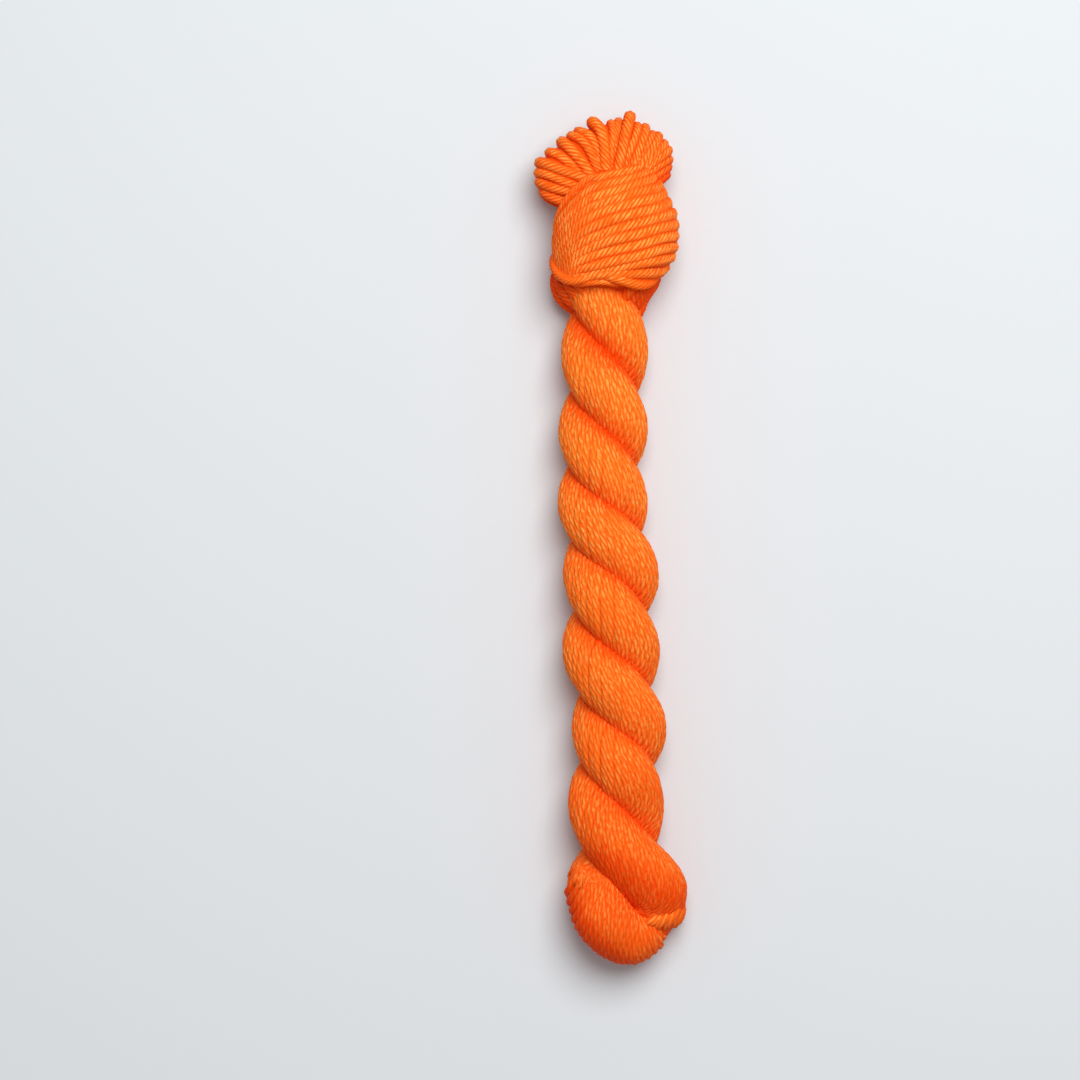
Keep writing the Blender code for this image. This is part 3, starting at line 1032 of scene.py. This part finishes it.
def on_collar(turn, along, inset):
    """Places `inset` below the collar's surface, by turn from its right edge and along."""
    middle, half, deep = collar_section(along)
    outward = np.stack((np.cos(turn) * deep, 0 * turn, np.sin(turn) * half), axis=1)
    across = middle + np.maximum(half - inset, 1) * np.cos(turn)
    up = COLLAR_MIDDLE_UP + np.maximum(deep - inset, 1) * np.sin(turn)
    return np.stack((across, along, up), axis=1), unit(outward)


def collar_strands(yarn):
    """Strands wound round the collar, from the right over the front and back underneath."""
    rng = np.random.default_rng(yarn.seed + 11)
    low_along = pixels_to_mm(0, GATHERING_DOWN)[1]
    strands = []
    for edge, *downs, gathered, radius in COLLAR_STRANDS:
        across, along = pixels_to_mm(np.array(COLLAR_PLACES, float), np.array(downs, float))
        middle, half, _ = collar_section(along)
        share = np.clip((across - middle) / (half - radius), -COLLAR_REACH, COLLAR_REACH)
        edge_along = pixels_to_mm(0, edge)[1]
        behind = (gathered + 360) / 2
        turns = np.concatenate(([0.0], np.degrees(np.arccos(share)), [gathered, behind, 360.0]))
        back = (low_along, (low_along + edge_along) / 2, edge_along)
        along = np.concatenate(([edge_along], along, back))
        # A place that turns no further than the one before it is left out.
        keep = np.concatenate(([True], np.diff(turns) > LEAST_TURN))
        keep[-1] = True
        places = np.stack((turns[keep], along[keep]), axis=1)
        fine = np.linspace(0, len(places) - 1, COLLAR_TURN_PLACES)
        turn, along = smooth(places, fine).T
        inset = radius + SKIN + waves(rng, fine * COLLAR_MM_PLACE, *COLLAR_WAVES)
        places, outward = on_collar(np.radians(turn), along, inset)
        # Painted shade and shadow on the collar's left side.
        deep = COLLAR_SHADE * np.clip(-outward[:, 0] - COLLAR_SHADE_FROM, 0, 1)
        strands.append(strand(places, radius * rng.uniform(*COLLAR_THICKER), outward, deep))
    return strands


def collar_lining(yarn):
    """Turns of yarn under the collar's outer ones, which show at its sides and back."""
    rng = np.random.default_rng(yarn.seed + 13)
    turn = np.linspace(0, 2 * pi, COLLAR_TURN_PLACES)
    strands = []
    for along in np.arange(*LINING_ALONG, LINING_PITCH):
        inset = LINING_INSET + waves(rng, turn * LINING_MM_ROUND, *LINING_WAVES)
        places, outward = on_collar(turn, along + LINING_LEAN * np.cos(turn), inset)
        strands.append(strand(places, LINING_RADIUS, outward, LINING_SHADE))
    return strands


class HANK_OT_collar(bpy.types.Operator):
    """Winds the collar's strands round the neck"""

    bl_idname = "hank.collar"
    bl_label = "Collar"

    def execute(self, context):
        rows = (*COLLAR_EDGE, *NECK_LEFT, *NECK_RIGHT)
        lowest = [placed_strand(places, radius, deep) for radius, deep, *places in rows]
        yarn = context.scene.hank_yarn
        spin("collar", collar_strands(yarn) + collar_lining(yarn) + lowest, yarn, taut=False)
        return {"FINISHED"}


def fan_strands():
    """The fan's loops: over the front from the base to the tip, and back underneath."""
    strands = []
    for radius, lift, *places in FAN:
        across, along = pixels_to_mm(*np.array(places, float).T)
        fine = smooth(np.stack((across, along), axis=1), np.linspace(0, len(places) - 1, 24))
        steps = np.linalg.norm(np.diff(fine, axis=0), axis=1)
        share = np.concatenate(([0], np.cumsum(steps))) / steps.sum()
        depth = FAN_HALF_DEPTH * np.sqrt(np.maximum(1 - share**FAN_FULLNESS, 0))
        depth = depth * np.clip(0.3 + 6 * share, 0, 1)  # it starts inside the collar
        lifted = lift * (1 - share**4)
        front = np.stack((*fine.T, FAN_MIDDLE_UP + depth + lifted), axis=1)
        back = np.stack((*fine.T, FAN_MIDDLE_UP - depth), axis=1)[::-1]
        line = np.vstack((front[:-1], back))
        reach = unit(fine[-1] - fine[0])
        ahead = unit(np.gradient(line, axis=0))
        outward = np.cross((reach[1], -reach[0], 0), ahead)
        # Painted shade, deeper on the loops that lie low.
        deep = max(-lift / 4, FAN_LEAST_SHADE)
        strands.append(strand(line, radius * FAN_THICKER, unit(outward), deep))
    return strands


class HANK_OT_fan(bpy.types.Operator):
    """Spreads the loops of the fan above the collar"""

    bl_idname = "hank.fan"
    bl_label = "Fan"

    def execute(self, context):
        yarn = context.scene.hank_yarn
        spin("fan", fan_strands(), yarn, taut=False)
        return {"FINISHED"}


class HANK_OT_core(bpy.types.Operator):
    """Fills the hank behind its outer strands"""

    bl_idname = "hank.core"
    bl_label = "Core"

    def execute(self, context):
        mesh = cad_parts[NODE].data.copy()
        mesh.name = "core"
        work = bmesh.new()
        work.from_mesh(mesh)
        bmesh.ops.remove_doubles(work, verts=work.verts, dist=1e-6)
        work.normal_update()
        for vertex in work.verts:
            neck = np.interp(vertex.co.y / MM, NECK_ALONG, NECK_SHARE)
            vertex.co -= vertex.normal * (CORE_INSET + NECK_INSET * neck) * MM
        work.to_mesh(mesh)
        work.free()
        mesh.materials.clear()
        mesh.materials.append(core_material())
        mesh.shade_smooth()
        show("core", mesh)
        return {"FINISHED"}


def core_material():
    """Wool packed inside the hank: matt, with a fibre grain of about 1 mm, its deep orange-red
    painted shade for the gaps where it shows.

    Real fibres are far finer; the grain is as coarse as it has to be to show in a gap.
    """
    material = bpy.data.materials.new("packed wool")
    material.use_nodes = True
    tree = material.node_tree
    shader = tree.nodes["Principled BSDF"]
    place = add_node(tree, "ShaderNodeTexCoord").outputs["Object"]
    noise = add_node(
        tree, "ShaderNodeTexNoise", {"Vector": place, "Scale": 900.0, "Detail": 3.0}
    ).outputs["Fac"]
    mix = add_node(tree, "ShaderNodeMix", {0: noise}, data_type="RGBA")
    mix.inputs[6].default_value = linear("#DC3E04")
    mix.inputs[7].default_value = linear("#F25A08")
    tree.links.new(mix.outputs[2], shader.inputs["Base Color"])
    shader.inputs["Roughness"].default_value = 0.9
    shader.inputs["Specular IOR Level"].default_value = 0.1
    return material


class HANK_OT_stage(bpy.types.Operator):
    """Sets the pale floor, the soft lights and the camera straight above the hank"""

    bl_idname = "hank.stage"
    bl_label = "Stage"

    def execute(self, context):
        scene = context.scene
        stage = scene.hank_stage
        set_floor(scene, stage)
        set_lights(scene, stage)
        set_camera(scene, stage)
        return {"FINISHED"}


def set_floor(scene, stage):
    """A flat, plain floor, wide enough to fill the picture from any side."""
    reach = FLOOR_REACH
    corners = [(-reach, -reach, 0), (reach, -reach, 0), (reach, reach, 0), (-reach, reach, 0)]
    mesh = bpy.data.meshes.new("floor")
    mesh.from_pydata(corners, [], [(0, 1, 2, 3)])
    floor = bpy.data.objects.new("floor", mesh)
    scene.collection.objects.link(floor)
    material = bpy.data.materials.new("pale matt floor")
    material.use_nodes = True
    shader = material.node_tree.nodes["Principled BSDF"]
    shader.inputs["Base Color"].default_value = (*stage.floor, 1.0)
    shader.inputs["Roughness"].default_value = 0.9
    mesh.materials.append(material)


def set_lights(scene, stage):
    """Even light from all round, and one large soft light over the fan's end."""
    world = bpy.data.worlds.new("studio")
    world.use_nodes = True
    background = world.node_tree.nodes["Background"]
    background.inputs["Strength"].default_value = stage.sky
    background.inputs["Color"].default_value = (1, 1, 1, 1)
    scene.world = world
    light = bpy.data.lights.new("key", "AREA")
    light.energy = stage.key
    light.shape = "DISK"
    light.size = KEY_SIZE
    key = bpy.data.objects.new("key", light)
    key.location = KEY_PLACE
    key.rotation_euler = (-Vector(KEY_PLACE)).to_track_quat("-Z", "Y").to_euler()
    scene.collection.objects.link(key)


def set_camera(scene, stage):
    """Straight above, with the photograph's frame, and its scale near the hank's middle."""
    camera = bpy.data.cameras.new("camera")
    camera.sensor_width = SENSOR_MM
    camera.lens = SENSOR_MM * stage.camera_height / (FRAME_PIXELS * MM_PER_PIXEL * MM)
    camera.clip_end = 20
    across, along = pixels_to_mm(FRAME_PIXELS / 2, FRAME_PIXELS / 2)
    eye = bpy.data.objects.new("camera", camera)
    eye.location = (across * MM, along * MM, stage.camera_height + TRUE_SCALE_HEIGHT)
    scene.collection.objects.link(eye)
    scene.camera = eye
    scene.view_settings.view_transform = "Standard"


class HANK_PT_panel(bpy.types.Panel):
    """Lists the pieces of the hank and its stage"""

    bl_label = "Hank of yarn"
    bl_idname = "HANK_PT_panel"
    bl_space_type = "VIEW_3D"
    bl_region_type = "UI"
    bl_category = "Hank"

    def draw(self, context):
        layout = self.layout
        for operator in OPERATORS:
            layout.operator(operator.bl_idname)
        for group in (context.scene.hank_yarn, context.scene.hank_stage):
            for name in group.__annotations__:
                layout.prop(group, name)


OPERATORS = (HANK_OT_stage, HANK_OT_core, HANK_OT_rope, HANK_OT_collar, HANK_OT_fan)
CLASSES = (HankYarn, HankStage, *OPERATORS, HANK_PT_panel)


def register():
    for cls in CLASSES:
        bpy.utils.register_class(cls)
    bpy.types.Scene.hank_yarn = bpy.props.PointerProperty(type=HankYarn)
    bpy.types.Scene.hank_stage = bpy.props.PointerProperty(type=HankStage)


def unregister():
    del bpy.types.Scene.hank_stage
    del bpy.types.Scene.hank_yarn
    for cls in reversed(CLASSES):
        bpy.utils.unregister_class(cls)


def main():
    register()
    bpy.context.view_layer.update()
    bpy.ops.hank.stage()
    bpy.ops.hank.core()
    bpy.ops.hank.rope()
    bpy.ops.hank.collar()
    bpy.ops.hank.fan()


if __name__ == "__main__":
    main()
